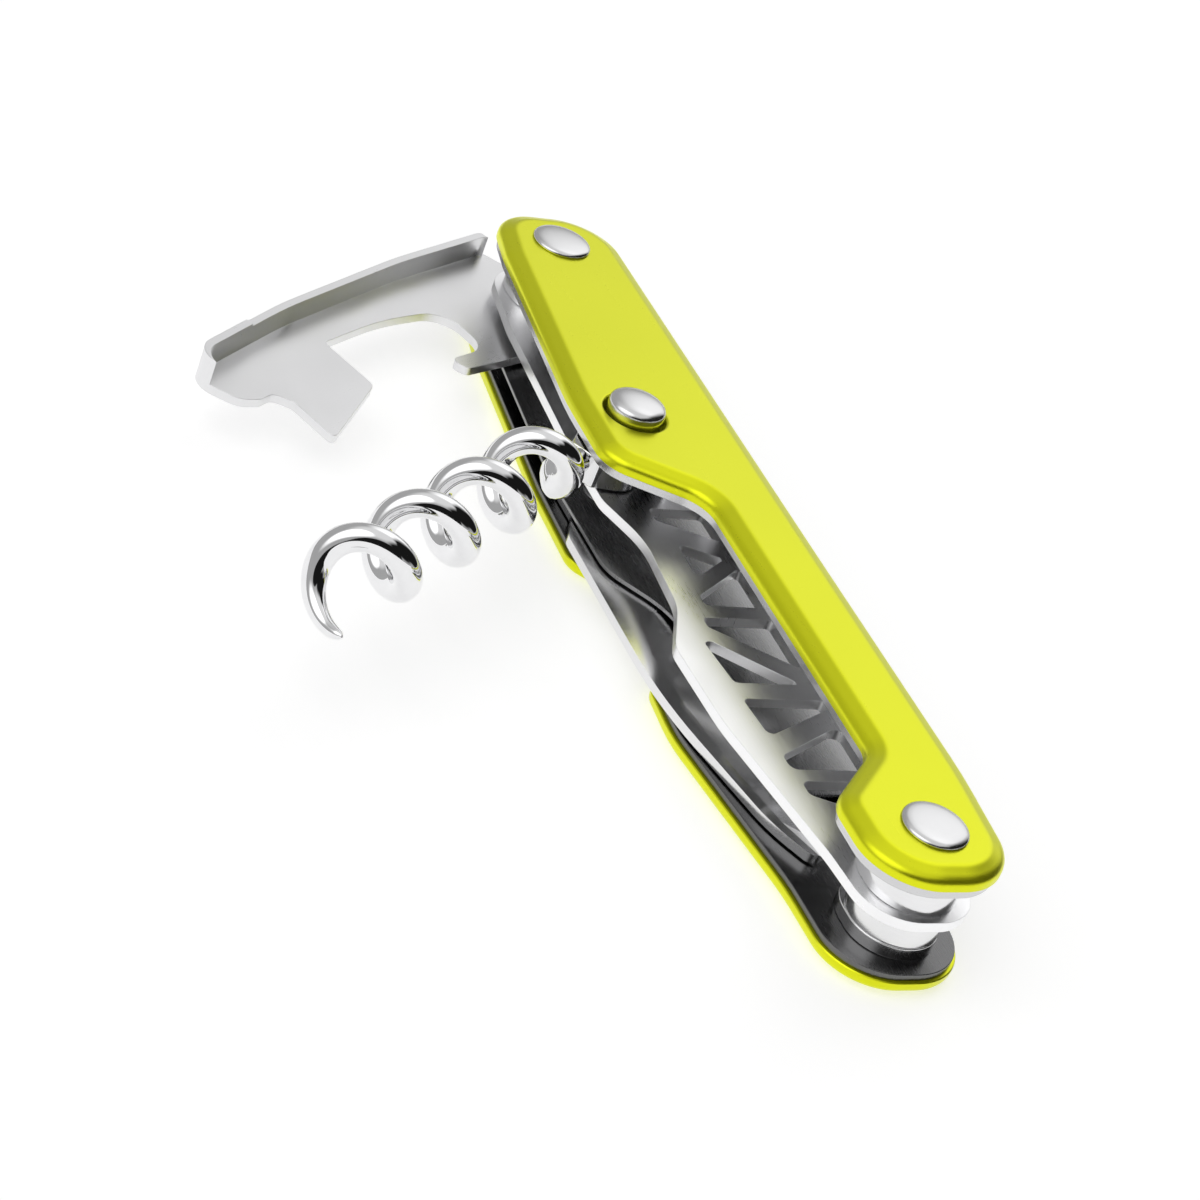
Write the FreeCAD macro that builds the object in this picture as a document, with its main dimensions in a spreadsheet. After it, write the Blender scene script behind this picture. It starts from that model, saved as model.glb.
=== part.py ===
import FreeCAD, Part
import math
import os

import Sketcher

# Folding lever corkscrew. Lengths are in millimetres and +Z points up through the thickness of the
# handle, which lies on its rear scale. The origin is on the rear scale's flat face, midway between
# the two end pivots; +X runs from the lower pivot to the upper one, where the lever turns, and +Y
# points to the belly, the side on which the tools fold in.

DOC = FreeCAD.newDocument("lever_corkscrew")
SHEET = DOC.addObject("Spreadsheet::Sheet", "Sizes")

SIZES = {
    "pivot_pitch": 95.0,
    "middle_x": 62.7,
    "middle_y": 4.2,
    "post_radius": 2.0,
    "hole_radius": 2.05,
    "thread_radius": 1.1,
    "screw_radius": 1.05,
    "screw_head_radius": 3.0,
    "counterbore_radius": 3.1,
    "head_radius": 3.2,
    "button_radius": 3.0,
    "button_hole_radius": 3.35,
    "eye_radius": 4.5,
    "washer_radius": 3.8,
    "scale_face": 0.9,
    "rear_scale_top": 1.7,
    "rear_liner_top": 2.4,
    "blade_low": 2.6,
    "blade_top": 3.6,
    "divider_low": 3.8,
    "divider_top": 4.2,
    "lever_low": 4.6,
    "lever_top": 5.6,
    "flange_top": 8.0,
    "tab_top": 8.3,
    "truss_low": 6.5,
    "truss_top": 7.6,
    "hub_low": 7.8,
    "hub_top": 11.2,
    "liner_low": 11.4,
    "scale_low": 12.4,
    "scale_top": 14.2,
    "head_top": 14.9,
    "button_top": 15.9,
    "lip_width": 1.3,
    "lip_drop": 0.9,
    "lever_angle": 121.4,
    "worm_angle": 126.3,
    "worm_axis_z": 13.0,
    "worm_side": -0.8,
    "coil_radius": 3.2,
    "coil_pitch": 9.88,
    "coil_turns": 4.12,
    "coil_start": 12.3,
    "wire_radius": 1.35,
    "wire_low": 9.85,
}
for row, (alias, value) in enumerate(SIZES.items(), start=1):
    SHEET.set("A%d" % row, alias)
    SHEET.set("B%d" % row, str(value))
    SHEET.setAlias("B%d" % row, alias)
DOC.recompute()


def size(alias):
    """The value of one sheet cell."""
    return float(SHEET.get(alias))


LOWER = (0.0, 0.0)
UPPER = (size("pivot_pitch"), 0.0)
MIDDLE = (size("middle_x"), size("middle_y"))
NODES = []


# ---------------------------------------------------------------- outlines

def corner_arc(before, corner, after, radius):
    """The start, middle and end of the arc that rounds one corner of an outline."""
    point = FreeCAD.Vector(corner[0], corner[1], 0)
    back = (FreeCAD.Vector(before[0], before[1], 0) - point).normalize()
    ahead = (FreeCAD.Vector(after[0], after[1], 0) - point).normalize()
    half = back.getAngle(ahead) / 2
    reach = radius / math.tan(half)
    bisector = (back + ahead).normalize()
    middle = point + bisector * (radius / math.sin(half) - radius)
    return point + back * reach, middle, point + ahead * reach


def rounded(corners):
    """Lines and tangent arcs through a closed list of (x, y, corner radius)."""
    arcs = []
    for index, (x, y, radius) in enumerate(corners):
        before = corners[index - 1]
        after = corners[(index + 1) % len(corners)]
        arcs.append(corner_arc(before, (x, y), after, radius))
    edges = []
    for index, (start, middle, end) in enumerate(arcs):
        edges.append(Part.Arc(start, middle, end))
        following = arcs[(index + 1) % len(arcs)][0]
        if (following - end).Length > 1e-4:
            edges.append(Part.LineSegment(end, following))
    return edges


def shifted(corners, inset):
    """The same corners as an outline drawn smaller by inset all round."""
    wire = Part.Wire([edge.toShape() for edge in rounded(corners)])
    smaller = Part.Face(wire).makeOffset2D(-inset, 0)
    return [edge.Curve.trim(*edge.ParameterRange) for edge in smaller.OuterWire.OrderedEdges]


def circle(centre, radius):
    """A hole or a disc as a one-edge loop whose radius is named in the sheet."""
    return {"centre": centre, "radius": radius}


# ---------------------------------------------------------------- solids

def bind_z(sketch, low):
    """Lift a sketch to the level of one sheet cell, or to a fixed height."""
    if isinstance(low, str):
        sketch.setExpression("AttachmentOffset.Base.z", "Sizes." + low)
    else:
        sketch.AttachmentOffset = FreeCAD.Placement(FreeCAD.Vector(0, 0, low), FreeCAD.Rotation())


def new_body(name):
    """A named body, which is one real piece."""
    body = DOC.addObject("PartDesign::Body", name)
    body.Label = name
    NODES.append(body)
    return body


def origin_plane(body, role):
    """One of the body's own origin planes."""
    return [item for item in body.Origin.OriginFeatures if item.Role == role][0]


def add_sketch(body, name, loops, low):
    """A sketch on the XY plane at height low, with closed loops of edges or circles."""
    sketch = body.newObject("Sketcher::SketchObject", name)
    sketch.AttachmentSupport = [(origin_plane(body, "XY_Plane"), "")]
    sketch.MapMode = "FlatFace"
    bind_z(sketch, low)
    for loop in loops:
        if isinstance(loop, dict):
            centre = FreeCAD.Vector(loop["centre"][0], loop["centre"][1], 0)
            normal = FreeCAD.Vector(0, 0, 1)
            index = sketch.addGeometry(Part.Circle(centre, normal, size(loop["radius"])))
            number = sketch.addConstraint(Sketcher.Constraint("Radius", index, size(loop["radius"])))
            sketch.setExpression("Constraints[%d]" % number, "Sizes." + loop["radius"])
            continue
        for edge in loop:
            sketch.addGeometry(edge)
    return sketch


def add_layer(body, loops, low, high):
    """A pad from level low to level high, both named in the sheet or given as heights."""
    number = len(body.Group)
    sketch = add_sketch(body, "%s_sketch_%d" % (body.Name, number), loops, low)
    pad = body.newObject("PartDesign::Pad", "%s_pad_%d" % (body.Name, number))
    pad.Profile = sketch
    low_text = "Sizes." + low if isinstance(low, str) else str(low)
    high_text = "Sizes." + high if isinstance(high, str) else str(high)
    pad.setExpression("Length", "%s - %s" % (high_text, low_text))
    DOC.recompute()
    return pad


def place(body, centre, angle="0"):
    """Put a body at a point that is measured from the lower pivot, turned about Z."""
    body.setExpression(".Placement.Base.x", "%s - Sizes.pivot_pitch / 2" % centre[0])
    body.setExpression(".Placement.Base.y", centre[1])
    body.setExpression(".Placement.Rotation.Angle", angle)


def edges_at(shape, height, radius=None):
    """The names of the edges that lie at one height, of one circle radius if it is given."""
    names = []
    for index, edge in enumerate(shape.Edges, start=1):
        box = edge.BoundBox
        if abs(box.ZMin - height) > 1e-4 or abs(box.ZMax - height) > 1e-4:
            continue
        is_circle = isinstance(edge.Curve, Part.Circle)
        if radius is not None and not (is_circle and abs(edge.Curve.Radius - radius) < 1e-4):
            continue
        names.append("Edge%d" % index)
    return names


def round_off(body, height, amount, radius=None):
    """A fillet on the edges at one height."""
    base = body.Tip
    fillet = body.newObject("PartDesign::Fillet", body.Name + "_fillet_%d" % len(body.Group))
    fillet.Base = (base, edges_at(base.Shape, height, radius))
    fillet.Radius = amount
    DOC.recompute()
    return fillet


def slope_off(body, height, inward, down, holes):
    """A sloped lip round the outer edge at one height; the edges of the holes stay sharp."""
    base = body.Tip
    keep = set()
    for radius in holes:
        keep.update(edges_at(base.Shape, height, radius))
    names = [name for name in edges_at(base.Shape, height) if name not in keep]
    chamfer = body.newObject("PartDesign::Chamfer", body.Name + "_lip")
    chamfer.Base = (base, names)
    chamfer.ChamferType = "Two distances"
    chamfer.setExpression("Size", "Sizes." + inward)
    chamfer.setExpression("Size2", "Sizes." + down)
    DOC.recompute()
    return chamfer


# ---------------------------------------------------------------- scales, liners and plates

FRONT_OUTLINE = [
    (-6.6, 7.8, 6.4), (4.4, 7.8, 4.0), (11.0, 1.1, 3.6), (49.4, 1.1, 4.5), (55.2, 10.2, 4.6),
    (66.0, 10.1, 40.0), (93.0, 7.2, 14.0), (101.3, 5.6, 5.2), (101.3, -7.5, 6.4), (40.0, -7.5, 90.0),
    (8.0, -7.6, 60.0), (-6.6, -6.5, 6.4),
]
REAR_OUTLINE = [
    (-6.6, 7.4, 6.4), (6.0, 7.6, 30.0), (27.0, 10.4, 20.0), (34.0, 9.8, 3.0), (38.5, 5.4, 3.0),
    (49.0, 5.4, 3.0), (54.0, 10.6, 3.5), (66.0, 10.1, 30.0), (93.0, 7.2, 14.0), (101.3, 5.6, 5.2),
    (101.3, -7.5, 6.4), (40.0, -7.5, 90.0), (8.0, -7.6, 60.0), (-6.6, -6.5, 6.4),
]
ALL_PIVOTS = [LOWER, UPPER, MIDDLE]
ENDS = [LOWER, UPPER]


def make_front_scale():
    body = new_body("front_scale")
    loops = [rounded(FRONT_OUTLINE)]
    loops += [circle(centre, "hole_radius") for centre in ENDS]
    loops.append(circle(MIDDLE, "button_hole_radius"))
    add_layer(body, loops, "scale_low", "scale_top")
    holes = [size("hole_radius"), size("button_hole_radius")]
    slope_off(body, size("scale_top"), "lip_width", "lip_drop", holes)
    return body


def make_rear_scale():
    body = new_body("rear_scale")
    outline = rounded(REAR_OUTLINE)
    outer = [outline] + [circle(centre, "counterbore_radius") for centre in ALL_PIVOTS]
    inner = [outline] + [circle(centre, "hole_radius") for centre in [MIDDLE]]
    inner += [circle(centre, "thread_radius") for centre in ENDS]
    add_layer(body, outer, 0, "scale_face")
    add_layer(body, inner, "scale_face", "rear_scale_top")
    slope_off(body, 0.0, "lip_width", "lip_drop", [size("counterbore_radius")])
    return body


def make_liner(name, corners, low, high):
    """A steel liner: the scale's outline drawn smaller, with a hole at each pivot."""
    body = new_body(name)
    loops = [shifted(corners, 0.35)] + [circle(centre, "hole_radius") for centre in ALL_PIVOTS]
    add_layer(body, loops, low, high)
    return body


TRUSS_OUTLINE = [
    (-5.2, 5.4, 5.1), (4.0, 6.2, 20.0), (22.0, 9.2, 30.0), (33.0, 9.6, 4.0), (39.5, 6.6, 8.0),
    (50.0, 5.8, 12.0), (56.5, 8.0, 4.0), (66.0, 8.0, 20.0), (88.0, 6.6, 10.0), (99.8, 4.8, 4.7),
    (99.8, -6.6, 5.2), (40.0, -6.6, 80.0), (8.0, -6.8, 60.0), (-5.2, -5.7, 5.1),
]
# Triangular windows in turn point up and point down: each has one upright side and one slanted one.
TRUSS_WINDOWS = [
    [(8.0, -3.2, 0.5), (13.8, -3.2, 0.5), (13.8, 4.6, 0.8), (11.9, 4.6, 0.8)],
    [(15.4, -3.3, 0.6), (21.9, -3.3, 0.9), (17.4, 4.9, 0.9), (15.4, 4.9, 0.9)],
    [(25.6, 5.6, 0.7), (20.1, 5.1, 0.7), (24.3, -3.2, 0.4), (25.6, -3.2, 0.4)],
    [(27.9, 5.4, 0.6), (35.0, 6.2, 0.6), (28.4, -1.4, 0.15), (27.9, -1.4, 0.15)],
    [(37.9, -3.2, 0.6), (30.2, -3.2, 0.4), (36.4, 4.6, 0.7), (37.9, 4.6, 0.7)],
    [(39.8, -3.2, 0.6), (46.2, -3.2, 0.4), (41.3, 3.4, 0.5), (39.8, 3.4, 0.6)],
    [(44.3, 2.5, 0.6), (49.9, 2.3, 0.6), (47.8, -1.7, 0.2), (47.3, -1.7, 0.2)],
    [(55.6, -3.2, 0.6), (50.4, -3.2, 0.4), (53.6, 3.2, 0.6), (55.6, 3.2, 0.6)],
]


def make_truss_plate():
    body = new_body("truss_plate")
    loops = [rounded(TRUSS_OUTLINE)] + [circle(centre, "hole_radius") for centre in ALL_PIVOTS]
    loops += [rounded(window) for window in TRUSS_WINDOWS]
    add_layer(body, loops, "truss_low", "truss_top")
    return body


DIVIDER_OUTLINE = [
    (16.0, 4.0, 1.5), (43.0, 4.4, 10.0), (49.5, 9.2, 6.0), (66.0, 9.3, 30.0), (92.0, 6.6, 12.0),
    (100.3, 5.2, 5.0), (100.3, -6.8, 5.6), (16.0, -6.8, 1.5),
]


def make_divider_plate():
    body = new_body("divider_plate")
    loops = [rounded(DIVIDER_OUTLINE)] + [circle(centre, "hole_radius") for centre in [UPPER, MIDDLE]]
    add_layer(body, loops, "divider_low", "divider_top")
    return body


# ---------------------------------------------------------------- back springs

def spring_outline(bar_top, pad_top):
    """A back spring: an eye on each end pivot, and a bar along the spine with a pad at the middle."""
    eye = size("eye_radius")
    left = MIDDLE[0] - 4.6
    right = MIDDLE[0] + 4.6
    end = UPPER[0]
    return rounded([
        (-eye, eye, eye - 0.05), (eye, eye, eye - 0.05), (eye + 2.5, bar_top, 3.0),
        (left - 3.5, bar_top, 3.0), (left, pad_top, 1.0), (right, pad_top, 1.0),
        (right + 3.5, bar_top, 3.0), (end - eye - 2.5, bar_top, 3.0), (end - eye, eye, eye - 0.05),
        (end + eye, eye, eye - 0.05), (end + eye, -eye, eye - 0.05), (end - 1.0, -eye, 5.0),
        (end - 8.0, -6.9, 10.0), (8.0, -6.9, 10.0), (1.0, -eye, 5.0), (-eye, -eye, eye - 0.05),
    ])


def make_blade_spring():
    body = new_body("blade_spring")
    loops = [spring_outline(-4.2, -0.7)] + [circle(centre, "hole_radius") for centre in ENDS]
    add_layer(body, loops, "rear_liner_top", "divider_low")
    return body


def make_worm_spring():
    body = new_body("worm_spring")
    loops = [spring_outline(-5.0, 0.4)] + [circle(centre, "hole_radius") for centre in ENDS]
    add_layer(body, loops, "truss_top", "liner_low")
    return body


# ---------------------------------------------------------------- spacers and washers

def make_ring(name, centre, outer, low, high):
    """A plain ring round a post."""
    body = new_body(name)
    add_layer(body, [circle(centre, outer), circle(centre, "hole_radius")], low, high)
    return body


# ---------------------------------------------------------------- posts and screws

def make_end_post(name, centre):
    """A tubular post with a low flat head on the front face, tapped from the rear."""
    body = new_body(name)
    tapped = 8.0
    add_layer(body, [circle(centre, "post_radius"), circle(centre, "thread_radius")],
              "rear_scale_top", tapped)
    add_layer(body, [circle(centre, "post_radius")], tapped, "scale_top")
    add_layer(body, [circle(centre, "head_radius")], "scale_top", "head_top")
    round_off(body, size("head_top"), 0.35)
    return body


def make_end_screw(name, centre):
    """A flush screw from the rear: a flat head with a hexagonal socket, and a plain shank."""
    body = new_body(name)
    socket_floor = 0.55
    socket_corner = 1.15
    hexagon = []
    for step in range(6):
        start = math.radians(60 * step)
        end = math.radians(60 * (step + 1))
        hexagon.append(Part.LineSegment(
            FreeCAD.Vector(centre[0] + socket_corner * math.cos(start),
                           centre[1] + socket_corner * math.sin(start), 0),
            FreeCAD.Vector(centre[0] + socket_corner * math.cos(end),
                           centre[1] + socket_corner * math.sin(end), 0)))
    add_layer(body, [circle(centre, "screw_head_radius"), hexagon], 0.0, socket_floor)
    add_layer(body, [circle(centre, "screw_head_radius")], socket_floor, "scale_face")
    shank, top = ("post_radius", "divider_top") if centre == MIDDLE else ("screw_radius", 7.5)
    add_layer(body, [circle(centre, shank)], "scale_face", top)
    return body


def make_middle_post():
    """The worm's pivot: a taller domed button head that sits on the front liner."""
    body = new_body("middle_post")
    add_layer(body, [circle(MIDDLE, "post_radius")], "truss_low", "scale_low")
    add_layer(body, [circle(MIDDLE, "button_radius")], "scale_low", "button_top")
    round_off(body, size("button_top"), 1.1)
    return body


# ---------------------------------------------------------------- blade

BLADE_EDGE_Y = -2.0
BLADE_FULL_Y = 2.6
BLADE_OUTLINE = [
    (4.4, -4.4, 4.3), (4.4, 4.5, 4.3), (-3.0, 4.5, 1.5), (-7.0, 6.5, 3.0), (-32.0, 6.6, 60.0),
    (-50.0, 2.6, 20.0),
    (-56.2, -0.6, 1.2), (-53.0, BLADE_EDGE_Y, 3.0), (-13.5, BLADE_EDGE_Y, 1.0), (-11.0, -4.4, 3.0),
]


def make_blade():
    """The foil knife, drawn from the middle pivot: its edge is inside the closed handle."""
    body = new_body("blade")
    add_layer(body, [rounded(BLADE_OUTLINE), circle((0, 0), "hole_radius")], "blade_low", "blade_top")
    before = body.Tip.Shape.Volume
    low, top = size("blade_low"), size("blade_top")
    middle = (low + top) / 2
    sketch = body.newObject("Sketcher::SketchObject", "blade_grind")
    sketch.AttachmentSupport = [(origin_plane(body, "YZ_Plane"), "")]
    sketch.MapMode = "FlatFace"
    sketch.AttachmentOffset = FreeCAD.Placement(FreeCAD.Vector(0, 0, -60), FreeCAD.Rotation())
    for face, edge in ((top, middle + 0.06), (low, middle - 0.06)):
        outside = face + (face - middle) * 0.5
        points = [(BLADE_FULL_Y, face), (BLADE_EDGE_Y - 0.4, edge), (BLADE_EDGE_Y - 0.4, outside),
                  (BLADE_FULL_Y, outside)]
        corners = [FreeCAD.Vector(y, z, 0) for y, z in points]
        for index, corner in enumerate(corners):
            sketch.addGeometry(Part.LineSegment(corner, corners[(index + 1) % len(corners)]))
    pocket = body.newObject("PartDesign::Pocket", "blade_bevels")
    pocket.Profile = sketch
    pocket.Length = 60 - 15.5
    pocket.Reversed = True
    DOC.recompute()
    if body.Tip.Shape.Volume > before - 5:
        raise RuntimeError("the blade's bevels cut nothing")
    return body


# ---------------------------------------------------------------- lever

# Drawn from the upper pivot, with x along the lever and y across it: the flange is on the -y side
# and the cap lifter's tooth and hook are on the +y side.
LEVER_OUTLINE = [
    (-3.4, -11.6, 1.6), (12.0, -12.0, 60.0), (32.0, -11.0, 60.0), (48.8, -8.6, 3.0), (46.8, -2.6, 2.5),
    (44.6, -1.6, 0.6), (42.6, -1.8, 1.0), (41.6, 0.2, 1.4), (42.6, 6.6, 0.5), (30.8, 1.9, 1.2),
    (29.6, -6.0, 0.7), (20.0, -6.3, 30.0), (11.2, -4.6, 3.4), (12.6, 2.6, 2.6), (18.6, 2.2, 0.9),
    (17.8, 4.4, 0.9), (8.5, 5.6, 4.0), (2.0, 4.8, 4.0), (-4.8, 4.8, 4.7), (-4.8, -4.0, 4.0),
]
FLANGE_THICK = 0.95


def flange_strip(start, end):
    """The part of the lever's outline within one flange thickness of its back, as a closed loop."""
    outer = Part.Wire([edge.toShape() for edge in rounded(LEVER_OUTLINE)])
    face = Part.Face(outer)
    inner = Part.Face(outer).copy()
    inner.translate(FreeCAD.Vector(0.04 * FLANGE_THICK, FLANGE_THICK, 0))
    window = Part.makePlane(end - start, 12.0, FreeCAD.Vector(start, -13.0, 0))
    strip = face.cut(inner).common(window)
    largest = max(strip.Faces, key=lambda item: item.Area)
    return [edge.Curve.trim(*edge.ParameterRange) if not isinstance(edge.Curve, Part.Line)
            else Part.LineSegment(edge.Vertexes[0].Point, edge.Vertexes[-1].Point)
            for edge in largest.OuterWire.OrderedEdges]


def make_lever():
    body = new_body("lever")
    add_layer(body, [rounded(LEVER_OUTLINE), circle((0, 0), "hole_radius")], "lever_low", "lever_top")
    add_layer(body, [flange_strip(-3.0, 38.5)], "lever_top", "flange_top")
    add_layer(body, [flange_strip(38.5, 49.0)], "lever_top", "tab_top")
    return body


# ---------------------------------------------------------------- worm

TIP_OPENS = 3.8
TIP_OPENING = 1.1


def wire_centre(turns):
    """A point of the worm's centreline, counted in turns from the coil's start near the hub."""
    angle = 2 * math.pi * turns
    squeeze = min(1.0, 0.55 + 0.9 * turns)
    opening = max(0.0, turns - TIP_OPENS) / (size("coil_turns") - TIP_OPENS)
    radius = size("coil_radius") + TIP_OPENING * opening ** 2
    along = size("coil_start") + size("coil_pitch") * turns
    across = size("worm_side") + radius * math.sin(angle) * squeeze
    height = size("worm_axis_z") - radius * math.cos(angle)
    return FreeCAD.Vector(along, across, height)


def pipe(points, radius):
    """A round wire along a smooth curve through the points."""
    curve = Part.BSplineCurve()
    curve.interpolate(points)
    start = curve.value(curve.FirstParameter)
    direction = curve.tangent(curve.FirstParameter)[0]
    ring = Part.Wire([Part.Circle(start, direction, radius).toShape()])
    return Part.Wire([curve.toShape()]).makePipeShell([ring], True, True), curve


def make_worm_wire():
    """The wire: a short neck from the hub, four turns of a right-handed coil, and a tapered tip
    that opens a little from the coil."""
    radius = size("wire_radius")
    side = size("worm_side")
    low = size("wire_low")
    neck = [(3.6, 0.0), (6.0, -0.5), (8.4, -0.95), (10.4, -1.0)]
    points = [FreeCAD.Vector(along, side + across, low - 0.05) for along, across in neck]
    steps = 20
    taper_turns = 0.4
    full = size("coil_turns") - taper_turns
    count = int(full * steps)
    points += [wire_centre(0.05 + (full - 0.05) * index / count) for index in range(count + 1)]
    shank, curve = pipe(points, radius)
    rings = []
    sections = 9
    for index in range(sections + 1):
        share = index / sections
        here = wire_centre(full + taper_turns * share)
        ahead = wire_centre(full + taper_turns * share + 1e-3)
        direction = ahead - here
        if index == 0:
            here = curve.value(curve.LastParameter)
            direction = curve.tangent(curve.LastParameter)[0]
        thinned = radius * (1 - 0.58 * share ** 1.4)
        rings.append(Part.Wire([Part.Circle(here, direction, thinned).toShape()]))
    tip = Part.makeLoft(rings, True, False)
    feature = DOC.addObject("Part::Feature", "worm_wire")
    feature.Label = "worm_wire"
    feature.Shape = shank.fuse(tip)
    NODES.append(feature)
    return feature


def make_worm_hub():
    """The hub that the wire is set in: an eye on the middle post with a short square neck."""
    body = new_body("worm_hub")
    outline = [(-3.6, -3.6, 3.5), (3.6, -3.6, 2.2), (6.4, -2.7, 0.5), (6.4, 0.9, 0.5), (3.6, 3.6, 2.6),
               (-3.6, 3.6, 3.5)]
    add_layer(body, [rounded(outline), circle((0, 0), "hole_radius")], "hub_low", "hub_top")
    return body


# ---------------------------------------------------------------- assembly

frame_bodies = [
    make_front_scale(),
    make_rear_scale(),
    make_liner("front_liner", FRONT_OUTLINE, "liner_low", "scale_low"),
    make_liner("rear_liner", REAR_OUTLINE, "rear_scale_top", "rear_liner_top"),
    make_truss_plate(),
    make_divider_plate(),
    make_blade_spring(),
    make_worm_spring(),
    make_ring("lower_spacer", LOWER, "eye_radius", "divider_low", "truss_low"),
    make_ring("lever_washer", UPPER, "washer_radius", "divider_top", "lever_low"),
    make_ring("lever_bushing", UPPER, "washer_radius", "lever_top", "truss_low"),
    make_ring("blade_rear_washer", MIDDLE, "washer_radius", "rear_liner_top", "blade_low"),
    make_ring("blade_front_washer", MIDDLE, "washer_radius", "blade_top", "divider_low"),
    make_ring("worm_rear_washer", MIDDLE, "button_radius", "truss_top", "hub_low"),
    make_ring("worm_front_washer", MIDDLE, "button_radius", "hub_top", "liner_low"),
    make_end_post("lower_post", LOWER),
    make_end_post("upper_post", UPPER),
    make_middle_post(),
    make_end_screw("lower_screw", LOWER),
    make_end_screw("upper_screw", UPPER),
    make_end_screw("middle_screw", MIDDLE),
]
for body in frame_bodies:
    place(body, ("0", "0"))

lever = make_lever()
place(lever, ("Sizes.pivot_pitch", "0"), "Sizes.lever_angle")

blade = make_blade()
place(blade, ("Sizes.middle_x", "Sizes.middle_y"))

worm_hub = make_worm_hub()
worm_wire = make_worm_wire()
for piece in (worm_hub, worm_wire):
    place(piece, ("Sizes.middle_x", "Sizes.middle_y"), "Sizes.worm_angle")

DOC.recompute()

failed = [item.Name for item in DOC.Objects if "Invalid" in item.State or "Error" in item.State]
if failed:
    raise RuntimeError("failed objects: " + ", ".join(failed))
for node in NODES:
    if node.Shape.isNull() or not node.Shape.isValid() or len(node.Shape.Solids) != 1:
        raise RuntimeError("bad shape: " + node.Label)

os.makedirs("parts", exist_ok=True)
for node in NODES:
    node.Shape.exportStep("parts/%s.step" % node.Label)
    box = node.Shape.BoundBox
    print("%-20s volume %8.1f  x %7.2f %7.2f  y %7.2f %7.2f  z %6.2f %6.2f" % (
        node.Label, node.Shape.Volume, box.XMin, box.XMax, box.YMin, box.YMax, box.ZMin, box.ZMax))
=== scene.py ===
import math

import bmesh
import bpy
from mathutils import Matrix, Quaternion, Vector


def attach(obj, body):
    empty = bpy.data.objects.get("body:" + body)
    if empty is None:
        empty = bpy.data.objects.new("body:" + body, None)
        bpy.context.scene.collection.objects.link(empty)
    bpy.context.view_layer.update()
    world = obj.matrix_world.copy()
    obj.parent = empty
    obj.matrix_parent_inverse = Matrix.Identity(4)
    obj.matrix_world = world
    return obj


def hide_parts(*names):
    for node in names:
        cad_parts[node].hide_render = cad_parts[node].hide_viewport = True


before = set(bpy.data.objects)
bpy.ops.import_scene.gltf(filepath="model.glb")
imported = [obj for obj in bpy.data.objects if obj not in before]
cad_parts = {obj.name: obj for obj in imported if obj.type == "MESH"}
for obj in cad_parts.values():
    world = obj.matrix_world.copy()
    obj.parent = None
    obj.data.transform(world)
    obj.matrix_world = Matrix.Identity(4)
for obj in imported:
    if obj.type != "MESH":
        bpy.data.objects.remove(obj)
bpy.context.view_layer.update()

# A folding lever corkscrew. Sizes here are in millimetres, in the frame of the CAD model, and MM
# turns them into metres. The origin is midway between the two end pivots, on the rear face; +X runs
# to the lever's pivot, +Y to the belly and +Z to the front scale. Outlines are drawn from the lower
# pivot, as in the CAD source, and START brings them into the frame.
MM = 0.001
SCENE = bpy.context.scene
PITCH = 95.0
START = Vector((-PITCH / 2, 0.0))
LOWER = Vector((0.0, 0.0))
UPPER = Vector((PITCH, 0.0))
MIDDLE = Vector((62.7, 4.2))
SMOOTH_BELOW = math.radians(32)
EYE_REACH = 6.5
LEVER_ANGLE = 121.4
WORM_ANGLE = 126.3

# Levels through the thickness, and radii that several pieces share.
REAR_SCALE_TOP = 1.7
COUNTERBORE_FLOOR = 0.9
FRONT_SCALE_LOW = 12.4
FRONT_SCALE_TOP = 14.2
SCALE_THICK = 1.8
POST_RADIUS = 2.0
HOLE_RADIUS = 2.05
THREAD_RADIUS = 1.1
COUNTERBORE_RADIUS = 3.1
BUTTON_HOLE_RADIUS = 3.35


# ---------------------------------------------------------------- camera

def make_camera():
    place = Vector((-231.8, 165.0, 173.7)) * MM
    aim = Vector((-4.0, 12.5, 4.9)) * MM
    roll = math.radians(22.07)
    data = bpy.data.cameras.new("camera")
    data.lens = 100.3
    data.sensor_width = 36.0
    data.clip_start = 0.01
    camera = bpy.data.objects.new("camera", data)
    camera.location = place
    turn = (aim - place).to_track_quat("-Z", "Y")
    camera.rotation_mode = "QUATERNION"
    camera.rotation_quaternion = turn @ Quaternion((0, 0, 1), roll)
    SCENE.collection.objects.link(camera)
    SCENE.camera = camera


make_camera()
SCENE.view_settings.view_transform = "Standard"


# ---------------------------------------------------------------- materials

def new_material(name):
    material = bpy.data.materials.new(name)
    material.use_nodes = True
    nodes = material.node_tree.nodes
    return material, nodes, material.node_tree.links, nodes["Principled BSDF"]


def noise(nodes, links, scale, stretch=(1, 1, 1), angle=0.0, detail=3.0):
    """A noise field in object space; a stretch above 1 packs it more closely along that axis."""
    coords = nodes.new("ShaderNodeTexCoord")
    turned = nodes.new("ShaderNodeMapping")
    turned.vector_type = "TEXTURE"
    turned.inputs["Rotation"].default_value = (0, 0, math.radians(angle))
    mapping = nodes.new("ShaderNodeMapping")
    mapping.inputs["Scale"].default_value = stretch
    field = nodes.new("ShaderNodeTexNoise")
    field.inputs["Scale"].default_value = scale
    field.inputs["Detail"].default_value = detail
    links.new(coords.outputs["Object"], turned.inputs["Vector"])
    links.new(turned.outputs["Vector"], mapping.inputs["Vector"])
    links.new(mapping.outputs["Vector"], field.inputs["Vector"])
    return field.outputs["Fac"]


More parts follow.
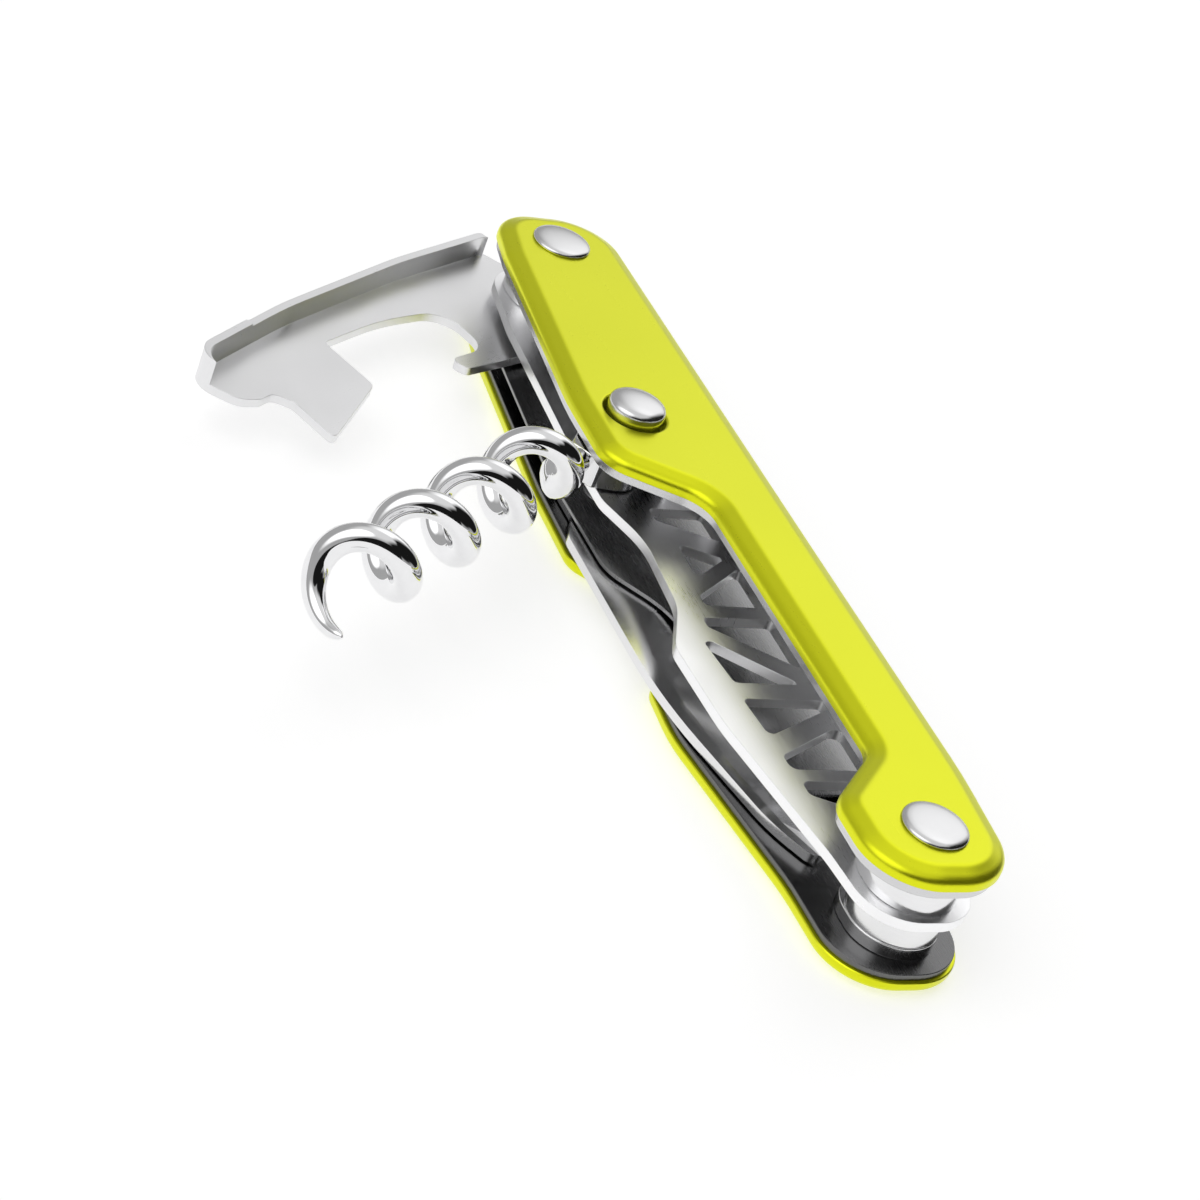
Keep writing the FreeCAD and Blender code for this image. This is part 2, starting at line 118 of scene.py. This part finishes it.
def spread(nodes, links, value, low, high, start=0.3, end=0.7):
    """Map a field from start..end to low..high."""
    mapped = nodes.new("ShaderNodeMapRange")
    mapped.inputs["From Min"].default_value = start
    mapped.inputs["From Max"].default_value = end
    mapped.inputs["To Min"].default_value = low
    mapped.inputs["To Max"].default_value = high
    links.new(value, mapped.inputs["Value"])
    return mapped.outputs["Result"]


def combine(nodes, links, operation, first, second):
    node = nodes.new("ShaderNodeMath")
    node.operation = operation
    links.new(first, node.inputs[0])
    links.new(second, node.inputs[1])
    return node.outputs["Value"]


def tint(nodes, links, shader, value, low, high):
    """Colour the surface from low to high by a field from 0 to 1."""
    blend = nodes.new("ShaderNodeMix")
    blend.data_type = "RGBA"
    blend.inputs["A"].default_value = (*low, 1)
    blend.inputs["B"].default_value = (*high, 1)
    links.new(value, blend.inputs["Factor"])
    links.new(blend.outputs["Result"], shader.inputs["Base Color"])


def add_bump(nodes, links, shader, value, strength, distance):
    bump = nodes.new("ShaderNodeBump")
    bump.inputs["Strength"].default_value = strength
    bump.inputs["Distance"].default_value = distance
    links.new(value, bump.inputs["Height"])
    links.new(bump.outputs["Normal"], shader.inputs["Normal"])


def steel(name, tone, rough, streak=(1, 1, 1), scale=700.0, angle=0.0, relief=0.05):
    """Steel with a finish of fine streaks, faint clouding and a few hairline scratches."""
    material, nodes, links, shader = new_material(name)
    shader.inputs["Metallic"].default_value = 1.0
    streaks = noise(nodes, links, scale, streak, angle, 4.0)
    clouds = noise(nodes, links, 130.0, (1, 1, 1), angle, 2.0)
    hairs = noise(nodes, links, 160.0, (1, 30, 30), angle + 12.0, 1.0)
    fine = spread(nodes, links, streaks, rough * 0.82, rough * 1.18)
    broad = spread(nodes, links, clouds, 0.0, rough * 0.25)
    gloss = combine(nodes, links, "ADD", fine, broad)
    scratch = spread(nodes, links, hairs, 0.0, 0.02, 0.68, 0.74)
    links.new(combine(nodes, links, "ADD", gloss, scratch), shader.inputs["Roughness"])
    tint(nodes, links, shader, spread(nodes, links, streaks, 0.0, 1.0),
         (tone * 0.97, tone * 0.97, tone * 0.98), (tone, tone, tone * 1.01))
    add_bump(nodes, links, shader, streaks, relief, 0.00002)
    return material


def anodised(name, colour):
    """Satin anodised aluminium: a bead-blasted grain under a clear dyed layer, slightly clouded."""
    material, nodes, links, shader = new_material(name)
    shader.inputs["Metallic"].default_value = 0.85
    shader.inputs["Specular IOR Level"].default_value = 0.5
    grain = noise(nodes, links, 7000.0, (1, 1, 1), 0.0, 2.0)
    cloud = noise(nodes, links, 45.0, (1, 1, 1), 0.0, 2.0)
    hairs = noise(nodes, links, 120.0, (1, 36, 36), 4.0, 1.0)
    satin = spread(nodes, links, grain, 0.28, 0.33)
    scuff = spread(nodes, links, hairs, 0.0, 0.02, 0.66, 0.74)
    links.new(combine(nodes, links, "SUBTRACT", satin, scuff), shader.inputs["Roughness"])
    tint(nodes, links, shader, spread(nodes, links, cloud, 0.0, 1.0), [c * 0.96 for c in colour], colour)
    add_bump(nodes, links, shader, grain, 0.05, 0.00001)
    return material


GREEN = anodised("green_anodised", (0.78, 0.82, 0.012))
LINER = steel("liner_steel", 0.66, 0.22, (1, 18, 1), 500.0, 0.0, 0.02)
# The rear liner: the same liner steel, darkened to paint the shade that the stack casts on it.
SHADED_LINER = steel("liner_steel_painted_shade", 0.16, 0.22, (1, 18, 1), 500.0, 0.0, 0.01)
PLATE = steel("plate_steel", 0.96, 0.30, (1, 20, 1), 600.0, 0.0, 0.02)
# The divider plate: steel darkened to paint the shade inside the cavity seen through the truss windows.
SHADED_DIVIDER = steel("divider_steel_painted_shade", 0.28, 0.24, (1, 20, 1), 450.0, 0.0, 0.03)
SPRING = steel("spring_steel", 0.50, 0.22, (1, 16, 1), 500.0, 0.0, 0.03)
# The bar of a back spring: steel darkened to paint the shade of the cavity behind the truss.
SHADED_SPRING_BAR = steel("spring_bar_painted_shade", 0.16, 0.26, (1, 16, 1), 500.0, 0.0, 0.03)
TURNED = steel("turned_steel", 0.84, 0.14, (1, 1, 12), 700.0, 0.0, 0.008)
HEAD = steel("head_steel", 0.73, 0.18, (1, 1, 1), 1400.0, 0.0, 0.01)
SCREW = steel("screw_steel", 0.66, 0.22, (1, 1, 1), 1200.0)
LEVER = steel("lever_steel", 0.81, 0.30, (1, 24, 1), 700.0, LEVER_ANGLE, 0.001)
BLADE = steel("blade_steel", 0.80, 0.16, (20, 1, 1), 500.0, 8.0, 0.02)
HUB = steel("hub_steel", 0.80, 0.10, (1, 14, 1), 500.0, WORM_ANGLE, 0.02)
CHROME = steel("chrome_wire", 0.84, 0.04, (1, 1, 1), 900.0, 0.0, 0.008)


# ---------------------------------------------------------------- building blocks

def finish_mesh(work, name, sharp=SMOOTH_BELOW):
    """Turn a bmesh into a mesh with outward normals, smooth except along its sharp edges."""
    bmesh.ops.recalc_face_normals(work, faces=work.faces)
    mesh = bpy.data.meshes.new(name)
    work.to_mesh(mesh)
    work.free()
    mesh.polygons.foreach_set("use_smooth", [True] * len(mesh.polygons))
    mesh.set_sharp_from_angle(angle=sharp)
    return mesh


def add_piece(name, mesh, material, body, slot, *nodes):
    """Place a detailed piece that rides on a body and stands for CAD nodes."""
    mesh.materials.clear()
    mesh.materials.append(material)
    piece = bpy.data.objects.new(name, mesh)
    SCENE.collection.objects.link(piece)
    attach(piece, body)
    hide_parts(*nodes)
    return piece


def outline(corners, step=5.0, longest=None):
    """The points of a closed outline of rounded corners, each with its outward normal; straight
    runs are divided where a longest length is given."""
    pairs = zip(corners, corners[1:] + corners[:1])
    area = sum(a[0] * b[1] - b[0] * a[1] for a, b in pairs)
    found = []
    for index, (x, y, radius) in enumerate(corners):
        corner = Vector((x, y))
        back = (Vector(corners[index - 1][:2]) - corner).normalized()
        ahead = (Vector(corners[(index + 1) % len(corners)][:2]) - corner).normalized()
        half = back.angle(ahead) / 2
        centre = corner + (back + ahead).normalized() * (radius / math.sin(half))
        reach = radius / math.tan(half)
        first = corner + back * reach - centre
        last = corner + ahead * reach - centre
        turn = math.atan2(first.x * last.y - first.y * last.x, first.dot(last))
        side = 1 if (ahead.x * back.y - ahead.y * back.x) * area > 0 else -1
        angle = math.atan2(first.y, first.x)
        count = max(2, math.ceil(abs(turn) / math.radians(step)))
        for part in range(count + 1):
            here = angle + turn * part / count
            normal = Vector((math.cos(here), math.sin(here)))
            found.append((centre + normal * radius, normal * side))
    if longest is None:
        return found
    divided = []
    for (point, normal), (following, _) in zip(found, found[1:] + found[:1]):
        count = max(1, math.ceil((following - point).length / longest))
        divided += [(point.lerp(following, part / count), normal) for part in range(count)]
    return divided


def add_ring(work, points):
    """A closed ring of vertices through (x, y, z) points in millimetres, and its edges."""
    verts = [work.verts.new(Vector(point) * MM) for point in points]
    edges = [work.edges.new((verts[i - 1], verts[i])) for i in range(len(verts))]
    return verts, edges


def bridge(work, below, above):
    """Quads between two rings of the same length."""
    for i in range(len(below)):
        work.faces.new((below[i - 1], below[i], above[i], above[i - 1]))


def round_hole(work, centre, profile, sides=72):
    """The wall of a round hole, from a profile of (radius, z); returns its end rings' edges."""
    rings = []
    for radius, z in profile:
        points = []
        for part in range(sides):
            angle = 2 * math.pi * part / sides
            points.append((centre.x + radius * math.cos(angle), centre.y + radius * math.sin(angle), z))
        rings.append(add_ring(work, points))
    for below, above in zip(rings, rings[1:]):
        bridge(work, below[0], above[0])
    return rings[0][1], rings[-1][1]


def slab(name, corners, profile, holes):
    """A plate with a shaped edge: profile is (inset, z) from one flat face to the other."""
    work = bmesh.new()
    shape = outline(corners)
    rings = []
    for inset, z in profile:
        points = []
        for point, normal in shape:
            spot = point - normal * inset + START
            points.append((spot.x, spot.y, z))
        rings.append(add_ring(work, points))
    for below, above in zip(rings, rings[1:]):
        bridge(work, below[0], above[0])
    low_edges = list(rings[0][1])
    high_edges = list(rings[-1][1])
    for centre, hole in holes:
        low, high = round_hole(work, centre + START, hole)
        low_edges += low
        high_edges += high
    for edges, sign in ((low_edges, -1), (high_edges, 1)):
        bmesh.ops.triangle_fill(work, edges=edges, use_beauty=True, normal=(0, 0, sign))
    return finish_mesh(work, name)


def lathe(name, centre, profile, sides=96):
    """A solid of revolution about Z, from a profile of (radius, z) that starts and ends on the axis."""
    work = bmesh.new()
    spot = centre + START
    first = work.verts.new(Vector((spot.x, spot.y, profile[0][1])) * MM)
    last = work.verts.new(Vector((spot.x, spot.y, profile[-1][1])) * MM)
    rings = []
    for radius, z in profile[1:-1]:
        points = []
        for part in range(sides):
            angle = 2 * math.pi * part / sides
            points.append((spot.x + radius * math.cos(angle), spot.y + radius * math.sin(angle), z))
        rings.append(add_ring(work, points)[0])
    for below, above in zip(rings, rings[1:]):
        bridge(work, below, above)
    for tip, ring in ((first, rings[0]), (last, rings[-1])):
        for i in range(sides):
            work.faces.new((ring[i - 1], ring[i], tip))
    return finish_mesh(work, name)


def near_pivot(face):
    """Whether a face belongs to the eye of a back spring, at one of the end pivots; the rest of the bar
    gets painted shade.
    """
    spot = face.calc_center_median().xy / MM
    return min((spot - START - LOWER).length, (spot - START - UPPER).length) < EYE_REACH


def bevelled(node, material, body, slot, width):
    """A copy of a CAD node with softly rounded edges; the bar of a back spring gets a darkened steel,
    painted shade of the cavity.
    """
    work = bmesh.new()
    work.from_mesh(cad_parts[node].data)
    bmesh.ops.remove_doubles(work, verts=work.verts, dist=2e-6)
    bmesh.ops.dissolve_limit(work, angle_limit=math.radians(0.6), verts=work.verts, edges=work.edges)
    is_spring = node.endswith("_spring")
    # A back spring's faces away from its eyes take the second material, which paints the cavity's shade on
    # the bar.
    for face in work.faces:
        face.material_index = 1 if is_spring and not near_pivot(face) else 0
    mesh = finish_mesh(work, node + "_fine")
    piece = add_piece(node + "_fine", mesh, material, body, slot, node)
    if is_spring:
        mesh.materials.append(SHADED_SPRING_BAR)
    bevel = piece.modifiers.new("edge", "BEVEL")
    bevel.width = width * MM
    bevel.segments = 3
    bevel.limit_method = "ANGLE"
    bevel.angle_limit = SMOOTH_BELOW
    bevel.harden_normals = True
    bevel.use_clamp_overlap = True
    return piece


# ---------------------------------------------------------------- scales

FRONT_OUTLINE = [
    (-6.6, 7.8, 6.4), (4.4, 7.8, 4.0), (11.0, 1.1, 3.6), (49.4, 1.1, 4.5), (55.2, 10.2, 4.6),
    (66.0, 10.1, 40.0), (93.0, 7.2, 14.0), (101.3, 5.6, 5.2), (101.3, -7.5, 6.4), (40.0, -7.5, 90.0),
    (8.0, -7.6, 60.0), (-6.6, -6.5, 6.4),
]
REAR_OUTLINE = [
    (-6.6, 7.4, 6.4), (6.0, 7.6, 30.0), (27.0, 10.4, 20.0), (34.0, 9.8, 3.0), (38.5, 5.4, 3.0),
    (49.0, 5.4, 3.0), (54.0, 10.6, 3.5), (66.0, 10.1, 30.0), (93.0, 7.2, 14.0), (101.3, 5.6, 5.2),
    (101.3, -7.5, 6.4), (40.0, -7.5, 90.0), (8.0, -7.6, 60.0), (-6.6, -6.5, 6.4),
]
# The edge of a scale, as (inset, height above its inner face): a short wall, a rolled lip, a gentle
# slope and the flat outer face.
LIP = [
    (0.1, 0.0), (0.0, 0.1), (0.0, 0.62), (0.05, 0.86), (0.17, 1.07), (0.36, 1.25), (0.6, 1.38),
    (0.86, 1.475), (1.1, 1.565), (1.34, 1.66), (1.5, 1.72), (1.66, 1.765), (1.82, 1.79), (2.0, 1.8),
    (2.15, 1.8),
]


def make_scales():
    holes = []
    for centre, radius in ((LOWER, HOLE_RADIUS), (UPPER, HOLE_RADIUS), (MIDDLE, BUTTON_HOLE_RADIUS)):
        rim = [(radius, 14.0), (radius + 0.08, 14.13), (radius + 0.2, FRONT_SCALE_TOP),
               (radius + 0.3, FRONT_SCALE_TOP)]
        holes.append((centre, [(radius, FRONT_SCALE_LOW)] + rim))
    profile = [(inset, FRONT_SCALE_LOW + height) for inset, height in LIP]
    mesh = slab("front_scale_fine", FRONT_OUTLINE, profile, holes)
    add_piece("front_scale_fine", mesh, GREEN, "handle", "green_anodised", "front_scale")

    holes = []
    rim = [(COUNTERBORE_RADIUS, COUNTERBORE_FLOOR), (COUNTERBORE_RADIUS, 0.12), (3.16, 0.03),
           (3.24, 0.0), (3.34, 0.0)]
    for centre, bore in ((LOWER, THREAD_RADIUS), (UPPER, THREAD_RADIUS), (MIDDLE, HOLE_RADIUS)):
        holes.append((centre, [(bore, REAR_SCALE_TOP), (bore, COUNTERBORE_FLOOR)] + rim))
    profile = []
    for inset, height in LIP:
        profile.append((inset, max(0.0, REAR_SCALE_TOP - height * REAR_SCALE_TOP / SCALE_THICK)))
    mesh = slab("rear_scale_fine", REAR_OUTLINE, profile, holes)
    add_piece("rear_scale_fine", mesh, GREEN, "handle", "green_anodised", "rear_scale")


# ---------------------------------------------------------------- posts

def make_posts():
    head = [
        (3.02, FRONT_SCALE_TOP), (3.16, 14.23), (3.2, 14.3), (3.2, 14.38), (3.14, 14.5), (2.98, 14.61),
        (2.68, 14.71), (2.2, 14.79), (1.5, 14.855), (0.7, 14.89), (0.0, 14.9),
    ]
    tapped = 8.0
    shank = [
        (0.0, tapped), (THREAD_RADIUS, tapped), (THREAD_RADIUS, REAR_SCALE_TOP),
        (1.85, REAR_SCALE_TOP), (POST_RADIUS, 1.85), (POST_RADIUS, FRONT_SCALE_TOP),
    ]
    for node, centre in (("lower_post", LOWER), ("upper_post", UPPER)):
        mesh = lathe(node + "_fine", centre, shank + head)
        add_piece(node + "_fine", mesh, HEAD, "handle", "post_steel", node)
    button = [
        (0.0, 6.5), (1.9, 6.5), (POST_RADIUS, 6.6), (POST_RADIUS, FRONT_SCALE_LOW),
        (2.95, FRONT_SCALE_LOW), (3.0, 12.5), (3.0, 14.9),
        (2.98, 15.1), (2.88, 15.3), (2.66, 15.48), (2.3, 15.63), (1.8, 15.75), (1.2, 15.84),
        (0.6, 15.885), (0.0, 15.9),
    ]
    mesh = lathe("middle_post_fine", MIDDLE, button)
    add_piece("middle_post_fine", mesh, HEAD, "handle", "post_steel", "middle_post")


# ---------------------------------------------------------------- worm

# Drawn from the middle pivot, with x along the worm: the coil's start, pitch, side step and axis.
COIL_START = 12.3
COIL_PITCH = 9.88
COIL_SIDE = -0.8
COIL_AXIS_Z = 13.0
COIL_RADIUS = 3.2
COIL_TURNS = 4.12
COIL_STEPS = 96
NECK_Z = 9.8
WIRE_RADIUS = 1.35
TIP_OPENS = 3.8
TIP_OPENING = 1.1
TAPER_TURNS = 0.4
TAPER = 0.6
# The last rings round the wire off to a small blunt point.
TIP_RINGS = 4
TIP_BLUNTNESS = 0.06


def wire_centre(turns):
    """A point of the coil's centreline as (along, across, z), counted in turns from the hub."""
    angle = 2 * math.pi * turns
    squeeze = min(1.0, 0.55 + 0.9 * turns)
    opening = max(0.0, turns - TIP_OPENS) / (COIL_TURNS - TIP_OPENS)
    radius = COIL_RADIUS + TIP_OPENING * opening ** 2
    return Vector((COIL_START + COIL_PITCH * turns, COIL_SIDE + radius * math.sin(angle) * squeeze,
                   COIL_AXIS_Z - radius * math.cos(angle)))


def glide(points, share, index):
    """A point of the smooth curve through points, at a share of the way from one to the next."""
    p0, p1, p2, p3 = (points[max(0, min(len(points) - 1, index + k))] for k in (-1, 0, 1, 2))
    a = (p2 - p0) * 0.5
    b = p0 - 2.5 * p1 + 2.0 * p2 - 0.5 * p3
    c = 1.5 * (p1 - p2) + 0.5 * (p3 - p0)
    return p1 + a * share + b * share ** 2 + c * share ** 3


def make_worm():
    neck = [(3.6, 0.0), (6.0, -0.5), (8.4, -0.95), (10.4, -1.0)]
    first = 0.05
    divisions = 3
    guide = [Vector((along, COIL_SIDE + across, NECK_Z)) for along, across in neck]
    guide += [wire_centre(first + (COIL_TURNS - first) * k / COIL_STEPS) for k in range(COIL_STEPS + 1)]
    path = []
    for index in range(len(guide) - 1):
        for part in range(divisions):
            path.append(glide(guide, part / divisions, index))
    path.append(guide[-1])
    neck_rings = divisions * len(neck)
    sides = 32
    across = Vector((0, 0, 1))
    work = bmesh.new()
    turn = Quaternion((0, 0, 1), math.radians(WORM_ANGLE))
    origin = Vector((MIDDLE.x + START.x, MIDDLE.y, 0.0))
    rings = []
    for index, point in enumerate(path):
        ahead = path[min(index + 1, len(path) - 1)] - path[max(index - 1, 0)]
        ahead.normalize()
        across = (across - ahead * across.dot(ahead)).normalized()
        beside = ahead.cross(across)
        turns = COIL_TURNS * (index - neck_rings) / (len(path) - 1 - neck_rings)
        share = max(0.0, (turns - COIL_TURNS + TAPER_TURNS) / TAPER_TURNS)
        radius = WIRE_RADIUS * (1 - TAPER * share ** 1.4)
        left = (len(path) - 1 - index) / TIP_RINGS
        if left < 1.0:
            radius *= math.sqrt(max(TIP_BLUNTNESS, 1 - (1 - left) ** 2))
        points = []
        for part in range(sides):
            angle = 2 * math.pi * part / sides
            offset = across * math.cos(angle) + beside * math.sin(angle)
            points.append(turn @ (point + offset * radius) + origin)
        rings.append(add_ring(work, points)[0])
    for below, above in zip(rings, rings[1:]):
        bridge(work, below, above)
    for ring in (rings[0], rings[-1]):
        work.faces.new(ring)
    mesh = finish_mesh(work, "worm_wire_fine")
    add_piece("worm_wire_fine", mesh, CHROME, "worm", "chrome_wire", "worm_wire")


# ---------------------------------------------------------------- knife

def make_knife():
    """The knife, drawn from the middle pivot: a flat back, a plunge line and a ground bevel."""
    middle = 3.1
    half = 0.5
    edge_half = 0.05
    edge_y = -2.0
    origin = MIDDLE + START
    whole = [
        (4.4, -4.4, 4.3), (4.4, 4.5, 4.3), (-3.0, 4.5, 1.5), (-7.0, 6.5, 3.0), (-32.0, 6.6, 60.0),
        (-50.0, 2.6, 20.0), (-56.2, -0.6, 1.2), (-53.0, edge_y, 3.0), (-13.5, edge_y, 1.0),
        (-11.0, -4.4, 3.0),
    ]
    shape = [point for point, normal in outline(whole, 2.0, 1.0)]
    grind = [Vector(spot) for spot in ((-17.2, edge_y), (-19.0, 1.6), (-21.4, 3.6), (-25.6, 4.75),
                                       (-32.0, 4.5), (-42.0, 3.2), (-50.0, 1.35), (-54.9, -0.6))]
    work = bmesh.new()

    def height(spot):
        """How far a face stands from the middle of the blade at a point."""
        limit = None
        for first, second in zip(grind, grind[1:]):
            if second.x <= spot.x <= first.x:
                share = (first.x - spot.x) / (first.x - second.x)
                limit = first.y + (second.y - first.y) * share
        if spot.x < grind[-1].x:
            limit = grind[-1].y
        if limit is None or spot.y >= limit - 1e-6:
            return half
        share = (spot.y - edge_y) / max(limit - edge_y, 0.2)
        return edge_half + (half - edge_half) * max(0.0, min(1.0, share))

    rims = []
    for side in (-1, 1):
        def lift(spot, side=side):
            return (origin.x + spot.x, origin.y + spot.y, middle + side * height(spot))
        ring, edges = add_ring(work, [lift(spot) for spot in shape])
        line = [work.verts.new(Vector(lift(spot)) * MM) for spot in grind[1:-1]]
        ends = []
        for target in (grind[0], grind[-1]):
            near = min(ring, key=lambda v: (v.co.xy / MM - origin - target).length)
            ends.append(near)
        chain = [ends[0]] + line + [ends[1]]
        edges += [work.edges.new(pair) for pair in zip(chain, chain[1:])]
        bore = [(HOLE_RADIUS, middle + side * 0.01), (HOLE_RADIUS, middle + side * half)]
        hole_edges = round_hole(work, origin, bore)[1]
        # Known fault: this fill also covers the bore, and leaves edges with more than two faces.
        bmesh.ops.triangle_fill(work, edges=edges + list(hole_edges), use_beauty=True, normal=(0, 0, side))
        rims.append(ring)
    bridge(work, rims[0], rims[1])
    # The two halves of the bore's wall meet 0.02 mm apart, and are joined here.
    bmesh.ops.remove_doubles(work, verts=work.verts, dist=2.5e-5)
    knife_sharp = math.radians(2.6)
    mesh = finish_mesh(work, "blade_fine", knife_sharp)
    add_piece("blade_fine", mesh, BLADE, "knife", "blade_steel", "blade")


# ---------------------------------------------------------------- the pieces

make_scales()
make_posts()
make_worm()
make_knife()

FINE_COPIES = [
    ("front_liner", LINER, "handle", "liner_steel", 0.10),
    ("rear_liner", SHADED_LINER, "handle", "liner_steel", 0.10),
    ("truss_plate", PLATE, "handle", "plate_steel", 0.16),
    ("divider_plate", SHADED_DIVIDER, "handle", "plate_steel", 0.08),
    ("blade_spring", TURNED, "handle", "spring_steel", 0.14),
    ("worm_spring", TURNED, "handle", "spring_steel", 0.16),
    ("lower_spacer", TURNED, "handle", "turned_steel", 0.18),
    ("lever_washer", SPRING, "handle", "turned_steel", 0.05),
    ("lever_bushing", SPRING, "handle", "turned_steel", 0.10),
    ("blade_rear_washer", SPRING, "handle", "turned_steel", 0.03),
    ("blade_front_washer", SPRING, "handle", "turned_steel", 0.03),
    ("worm_rear_washer", SPRING, "handle", "turned_steel", 0.03),
    ("worm_front_washer", SPRING, "handle", "turned_steel", 0.03),
    ("lower_screw", SCREW, "handle", "screw_steel", 0.10),
    ("upper_screw", SCREW, "handle", "screw_steel", 0.10),
    ("middle_screw", SCREW, "handle", "screw_steel", 0.10),
    ("lever", LEVER, "lever", "lever_steel", 0.16),
    ("worm_hub", HUB, "worm", "hub_steel", 0.20),
]
for node, material, body, slot, width in FINE_COPIES:
    bevelled(node, material, body, slot, width)


# ---------------------------------------------------------------- stage and light

def make_floor():
    mesh = bpy.data.meshes.new("floor")
    edge = 3.0
    corners = [(-edge, -edge, 0), (edge, -edge, 0), (edge, edge, 0), (-edge, edge, 0)]
    mesh.from_pydata(corners, [], [(0, 1, 2, 3)])
    floor = bpy.data.objects.new("floor", mesh)
    SCENE.collection.objects.link(floor)
    material, nodes, links, shader = new_material("pale_floor")
    shader.inputs["Base Color"].default_value = (0.6, 0.6, 0.6, 1)
    shader.inputs["Roughness"].default_value = 0.9
    shader.inputs["Emission Color"].default_value = (1, 1, 1, 1)
    shader.inputs["Emission Strength"].default_value = 0.60
    mesh.materials.append(material)


# Soft studio cards and dark gaps all round: azimuth and elevation, the angles at which the card is
# full and where it has faded out, and how much it adds.
TENT_LEVEL = 0.42
CARDS = [
    (-54.0, 38.0, 9.0, 36.0, 0.80),
    (0.0, 90.0, 20.0, 50.0, 0.38),
    (100.0, 48.0, 22.0, 34.0, 0.95),
    (-99.0, 28.0, 20.0, 36.0, -0.95),
    (-145.0, 32.0, 16.0, 32.0, -0.50),
    (167.0, 14.0, 25.0, 30.0, -0.75),
]


def make_world():
    world = bpy.data.worlds.new("studio")
    SCENE.world = world
    world.use_nodes = True
    nodes = world.node_tree.nodes
    links = world.node_tree.links
    coords = nodes.new("ShaderNodeTexCoord")
    total = None
    for azimuth, elevation, full, faded, amount in CARDS:
        turn, rise = math.radians(azimuth), math.radians(elevation)
        dot = nodes.new("ShaderNodeVectorMath")
        dot.operation = "DOT_PRODUCT"
        dot.inputs[1].default_value = (math.cos(rise) * math.cos(turn), math.cos(rise) * math.sin(turn),
                                       math.sin(rise))
        links.new(coords.outputs["Generated"], dot.inputs[0])
        card = nodes.new("ShaderNodeMapRange")
        card.interpolation_type = "SMOOTHSTEP"
        card.inputs["From Min"].default_value = math.cos(math.radians(faded))
        card.inputs["From Max"].default_value = math.cos(math.radians(full))
        card.inputs["To Min"].default_value = 0.0
        card.inputs["To Max"].default_value = amount
        links.new(dot.outputs["Value"], card.inputs["Value"])
        add = nodes.new("ShaderNodeMath")
        add.operation = "ADD"
        add.inputs[1].default_value = TENT_LEVEL
        if total is not None:
            links.new(total, add.inputs[1])
        links.new(card.outputs["Result"], add.inputs[0])
        total = add.outputs["Value"]
    floor = nodes.new("ShaderNodeMath")
    floor.operation = "MAXIMUM"
    floor.inputs[1].default_value = 0.01
    links.new(total, floor.inputs[0])
    links.new(floor.outputs["Value"], nodes["Background"].inputs["Strength"])
    nodes["Background"].inputs["Color"].default_value = (1.0, 1.0, 1.0, 1)


make_floor()
make_world()
